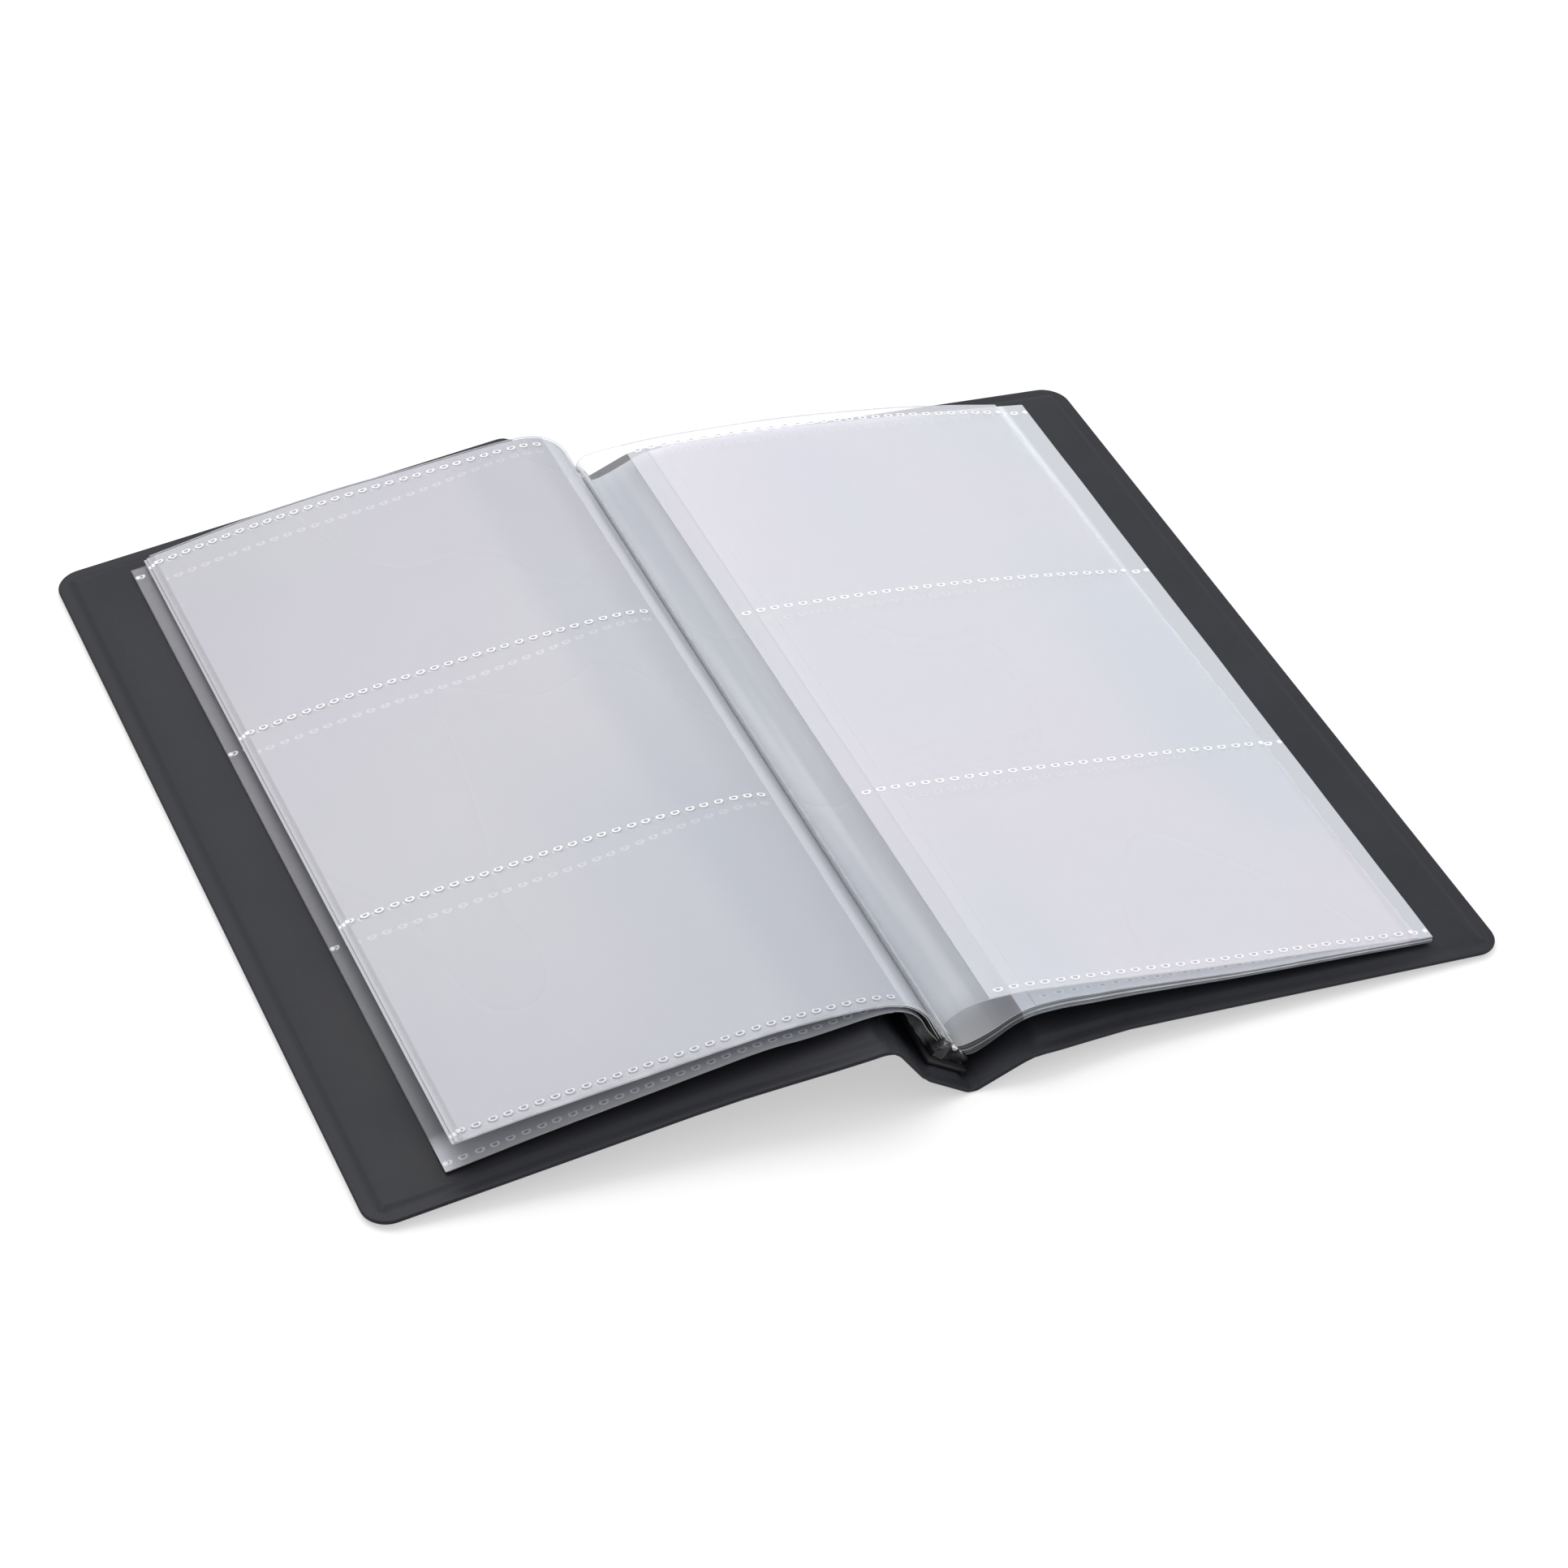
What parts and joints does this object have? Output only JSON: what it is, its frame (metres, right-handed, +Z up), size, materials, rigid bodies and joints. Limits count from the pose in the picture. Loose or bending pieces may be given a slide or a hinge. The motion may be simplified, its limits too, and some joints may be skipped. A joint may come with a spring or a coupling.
{
  "type": "card album",
  "caption": "Soft dark card album lying open: hinged boarded cover with creases, binding strip, and clear three-pocket leaves welded at the spine.",
  "frame": {"origin": "centre of the open album's bounding box, on the table that it lies on", "axes": "+X across the open album to the right page, +Y along the spine to the back, +Z up"},
  "size_m": [0.2346, 0.2, 0.0223],
  "materials": {
    "cover_skin": "soft satin, fine grain",
    "cover_lining": "soft satin",
    "board": "matt, hidden inside the cover",
    "strip": "satin",
    "weld": "milky, melted",
    "leaf_film": "frosted translucent",
    "pocket_film": "clear translucent"
  },
  "bodies": {
    "spine": {"spine_skin": "cover_skin", "spine_board": "board", "spine_lining": "cover_lining", "binding_strip": "strip", "leaf_weld_block": "weld"},
    "left_hinge": {"left_hinge_skin": "cover_skin", "left_hinge_lining": "cover_lining"},
    "left_cover": {"left_cover_skin": "cover_skin", "left_cover_board": "board", "left_cover_lining": "cover_lining"},
    "leaf_left_4_root": {"leaf_left_4_root": "leaf_film"},
    "leaf_left_4": {"leaf_left_4_base": "leaf_film", "leaf_left_4_pocket": "pocket_film"},
    "leaf_left_3_root": {"leaf_left_3_root": "leaf_film"},
    "leaf_left_3": {"leaf_left_3_base": "leaf_film", "leaf_left_3_pocket": "pocket_film"},
    "leaf_left_2_root": {"leaf_left_2_root": "leaf_film"},
    "leaf_left_2": {"leaf_left_2_base": "leaf_film", "leaf_left_2_pocket": "pocket_film"},
    "leaf_left_1_root": {"leaf_left_1_root": "leaf_film"},
    "leaf_left_1": {"leaf_left_1_base": "leaf_film", "leaf_left_1_pocket": "pocket_film"},
    "right_hinge": {"right_hinge_skin": "cover_skin", "right_hinge_lining": "cover_lining"},
    "right_cover": {"right_cover_skin": "cover_skin", "right_cover_board": "board", "right_cover_lining": "cover_lining"},
    "leaf_right_6_root": {"leaf_right_6_root": "leaf_film"},
    "leaf_right_6": {"leaf_right_6_base": "leaf_film", "leaf_right_6_pocket": "pocket_film"},
    "leaf_right_5_root": {"leaf_right_5_root": "leaf_film"},
    "leaf_right_5": {"leaf_right_5_base": "leaf_film", "leaf_right_5_pocket": "pocket_film"},
    "leaf_right_4_root": {"leaf_right_4_root": "leaf_film"},
    "leaf_right_4": {"leaf_right_4_base": "leaf_film", "leaf_right_4_pocket": "pocket_film"},
    "leaf_right_3_root": {"leaf_right_3_root": "leaf_film"},
    "leaf_right_3": {"leaf_right_3_base": "leaf_film", "leaf_right_3_pocket": "pocket_film"},
    "leaf_right_2_root": {"leaf_right_2_root": "leaf_film", "leaf_right_1_root": "leaf_film"},
    "leaf_right_2": {"leaf_right_2_base": "leaf_film", "leaf_right_2_pocket": "pocket_film"},
    "leaf_right_1": {"leaf_right_1_base": "leaf_film", "leaf_right_1_pocket": "pocket_film"}
  },
  "joints": [
    {"name": "left_inner_crease", "type": "hinge", "parent": "spine", "child": "left_hinge", "pos_m": [-0.00736, 0, 0.00736], "axis": [0, 1, 0], "range_deg": [0, 73.5]},
    {"name": "left_outer_crease", "type": "hinge", "parent": "left_hinge", "child": "left_cover", "pos_m": [-0.01505, 0, 0.01721], "axis": [0, 1, 0], "range_deg": [0, 61.06]},
    {"name": "leaf_left_4_weld_fold", "type": "hinge", "parent": "spine", "child": "leaf_left_4_root", "pos_m": [-0.00324, 0, 0.0086], "axis": [0, 1, 0], "range_deg": [0, 73.51]},
    {"name": "leaf_left_4_crest_fold", "type": "hinge", "parent": "leaf_left_4_root", "child": "leaf_left_4", "pos_m": [-0.01177, 0, 0.01953], "axis": [0, 1, 0], "range_deg": [0, 61.07]},
    {"name": "leaf_left_3_weld_fold", "type": "hinge", "parent": "spine", "child": "leaf_left_3_root", "pos_m": [-0.00219, 0, 0.00863], "axis": [0, 1, 0], "range_deg": [0, 73.51]},
    {"name": "leaf_left_3_crest_fold", "type": "hinge", "parent": "leaf_left_3_root", "child": "leaf_left_3", "pos_m": [-0.01142, 0, 0.02044], "axis": [0, 1, 0], "range_deg": [0, 61.07]},
    {"name": "leaf_left_2_weld_fold", "type": "hinge", "parent": "spine", "child": "leaf_left_2_root", "pos_m": [-0.00114, 0, 0.00865], "axis": [0, 1, 0], "range_deg": [0, 73.51]},
    {"name": "leaf_left_2_crest_fold", "type": "hinge", "parent": "leaf_left_2_root", "child": "leaf_left_2", "pos_m": [-0.01106, 0, 0.02134], "axis": [0, 1, 0], "range_deg": [0, 61.07]},
    {"name": "leaf_left_1_weld_fold", "type": "hinge", "parent": "spine", "child": "leaf_left_1_root", "pos_m": [-0.0001, 0, 0.00867], "axis": [0, 1, 0], "range_deg": [0, 73.51]},
    {"name": "leaf_left_1_crest_fold", "type": "hinge", "parent": "leaf_left_1_root", "child": "leaf_left_1", "pos_m": [-0.0107, 0, 0.02225], "axis": [0, 1, 0], "range_deg": [0, 61.07]},
    {"name": "right_inner_crease", "type": "hinge", "parent": "spine", "child": "right_hinge", "pos_m": [0.00274, 0, 0.00016], "axis": [0, -1, 0], "range_deg": [0, 28.5]},
    {"name": "right_outer_crease", "type": "hinge", "parent": "right_hinge", "child": "right_cover", "pos_m": [0.01397, 0, 0.00564], "axis": [0, -1, 0], "range_deg": [0, 28.6]},
    {"name": "leaf_right_6_weld_fold", "type": "hinge", "parent": "spine", "child": "leaf_right_6_root", "pos_m": [0.00339, 0, 0.00488], "axis": [0, -1, 0], "range_deg": [0, 28.51]},
    {"name": "leaf_right_6_crest_fold", "type": "hinge", "parent": "leaf_right_6_root", "child": "leaf_right_6", "pos_m": [0.01732, 0, 0.01167], "axis": [0, -1, 0], "range_deg": [0, 31.28]},
    {"name": "leaf_right_5_weld_fold", "type": "hinge", "parent": "spine", "child": "leaf_right_5_root", "pos_m": [0.00283, 0, 0.00554], "axis": [0, -1, 0], "range_deg": [0, 28.51]},
    {"name": "leaf_right_5_crest_fold", "type": "hinge", "parent": "leaf_right_5_root", "child": "leaf_right_5", "pos_m": [0.01716, 0, 0.01253], "axis": [0, -1, 0], "range_deg": [0, 31.28]},
    {"name": "leaf_right_4_weld_fold", "type": "hinge", "parent": "spine", "child": "leaf_right_4_root", "pos_m": [0.00227, 0, 0.0062], "axis": [0, -1, 0], "range_deg": [0, 28.51]},
    {"name": "leaf_right_4_crest_fold", "type": "hinge", "parent": "leaf_right_4_root", "child": "leaf_right_4", "pos_m": [0.01701, 0, 0.01339], "axis": [0, -1, 0], "range_deg": [0, 31.28]},
    {"name": "leaf_right_3_weld_fold", "type": "hinge", "parent": "spine", "child": "leaf_right_3_root", "pos_m": [0.00171, 0, 0.00686], "axis": [0, -1, 0], "range_deg": [0, 28.51]},
    {"name": "leaf_right_3_crest_fold", "type": "hinge", "parent": "leaf_right_3_root", "child": "leaf_right_3", "pos_m": [0.01685, 0, 0.01425], "axis": [0, -1, 0], "range_deg": [0, 31.28]},
    {"name": "leaf_right_2_weld_fold", "type": "hinge", "parent": "spine", "child": "leaf_right_2_root", "pos_m": [0.00115, 0, 0.00752], "axis": [0, -1, 0], "range_deg": [0, 28.51]},
    {"name": "leaf_right_2_crest_fold", "type": "hinge", "parent": "leaf_right_2_root", "child": "leaf_right_2", "pos_m": [0.01669, 0, 0.0151], "axis": [0, -1, 0], "range_deg": [0, 31.28]},
    {"name": "leaf_right_1_turn", "type": "hinge", "parent": "leaf_right_2", "child": "leaf_right_1", "pos_m": [0.01654, 0, 0.01596], "axis": [0, 1, 0], "range_deg": [-165, 0]}
  ],
  "couplings": [
    {"joint": "leaf_left_4_weld_fold", "follows": "left_inner_crease", "ratio": 1},
    {"joint": "leaf_left_4_crest_fold", "follows": "left_outer_crease", "ratio": 1},
    {"joint": "leaf_left_3_weld_fold", "follows": "left_inner_crease", "ratio": 1},
    {"joint": "leaf_left_3_crest_fold", "follows": "left_outer_crease", "ratio": 1},
    {"joint": "leaf_left_2_weld_fold", "follows": "left_inner_crease", "ratio": 1},
    {"joint": "leaf_left_2_crest_fold", "follows": "left_outer_crease", "ratio": 1},
    {"joint": "leaf_left_1_weld_fold", "follows": "left_inner_crease", "ratio": 1},
    {"joint": "leaf_left_1_crest_fold", "follows": "left_outer_crease", "ratio": 1},
    {"joint": "leaf_right_6_weld_fold", "follows": "right_inner_crease", "ratio": 1},
    {"joint": "leaf_right_6_crest_fold", "follows": "right_outer_crease", "ratio": 1.0934},
    {"joint": "leaf_right_5_weld_fold", "follows": "right_inner_crease", "ratio": 1},
    {"joint": "leaf_right_5_crest_fold", "follows": "right_outer_crease", "ratio": 1.0934},
    {"joint": "leaf_right_4_weld_fold", "follows": "right_inner_crease", "ratio": 1},
    {"joint": "leaf_right_4_crest_fold", "follows": "right_outer_crease", "ratio": 1.0934},
    {"joint": "leaf_right_3_weld_fold", "follows": "right_inner_crease", "ratio": 1},
    {"joint": "leaf_right_3_crest_fold", "follows": "right_outer_crease", "ratio": 1.0934},
    {"joint": "leaf_right_2_weld_fold", "follows": "right_inner_crease", "ratio": 1},
    {"joint": "leaf_right_2_crest_fold", "follows": "right_outer_crease", "ratio": 1.0934}
  ]
}
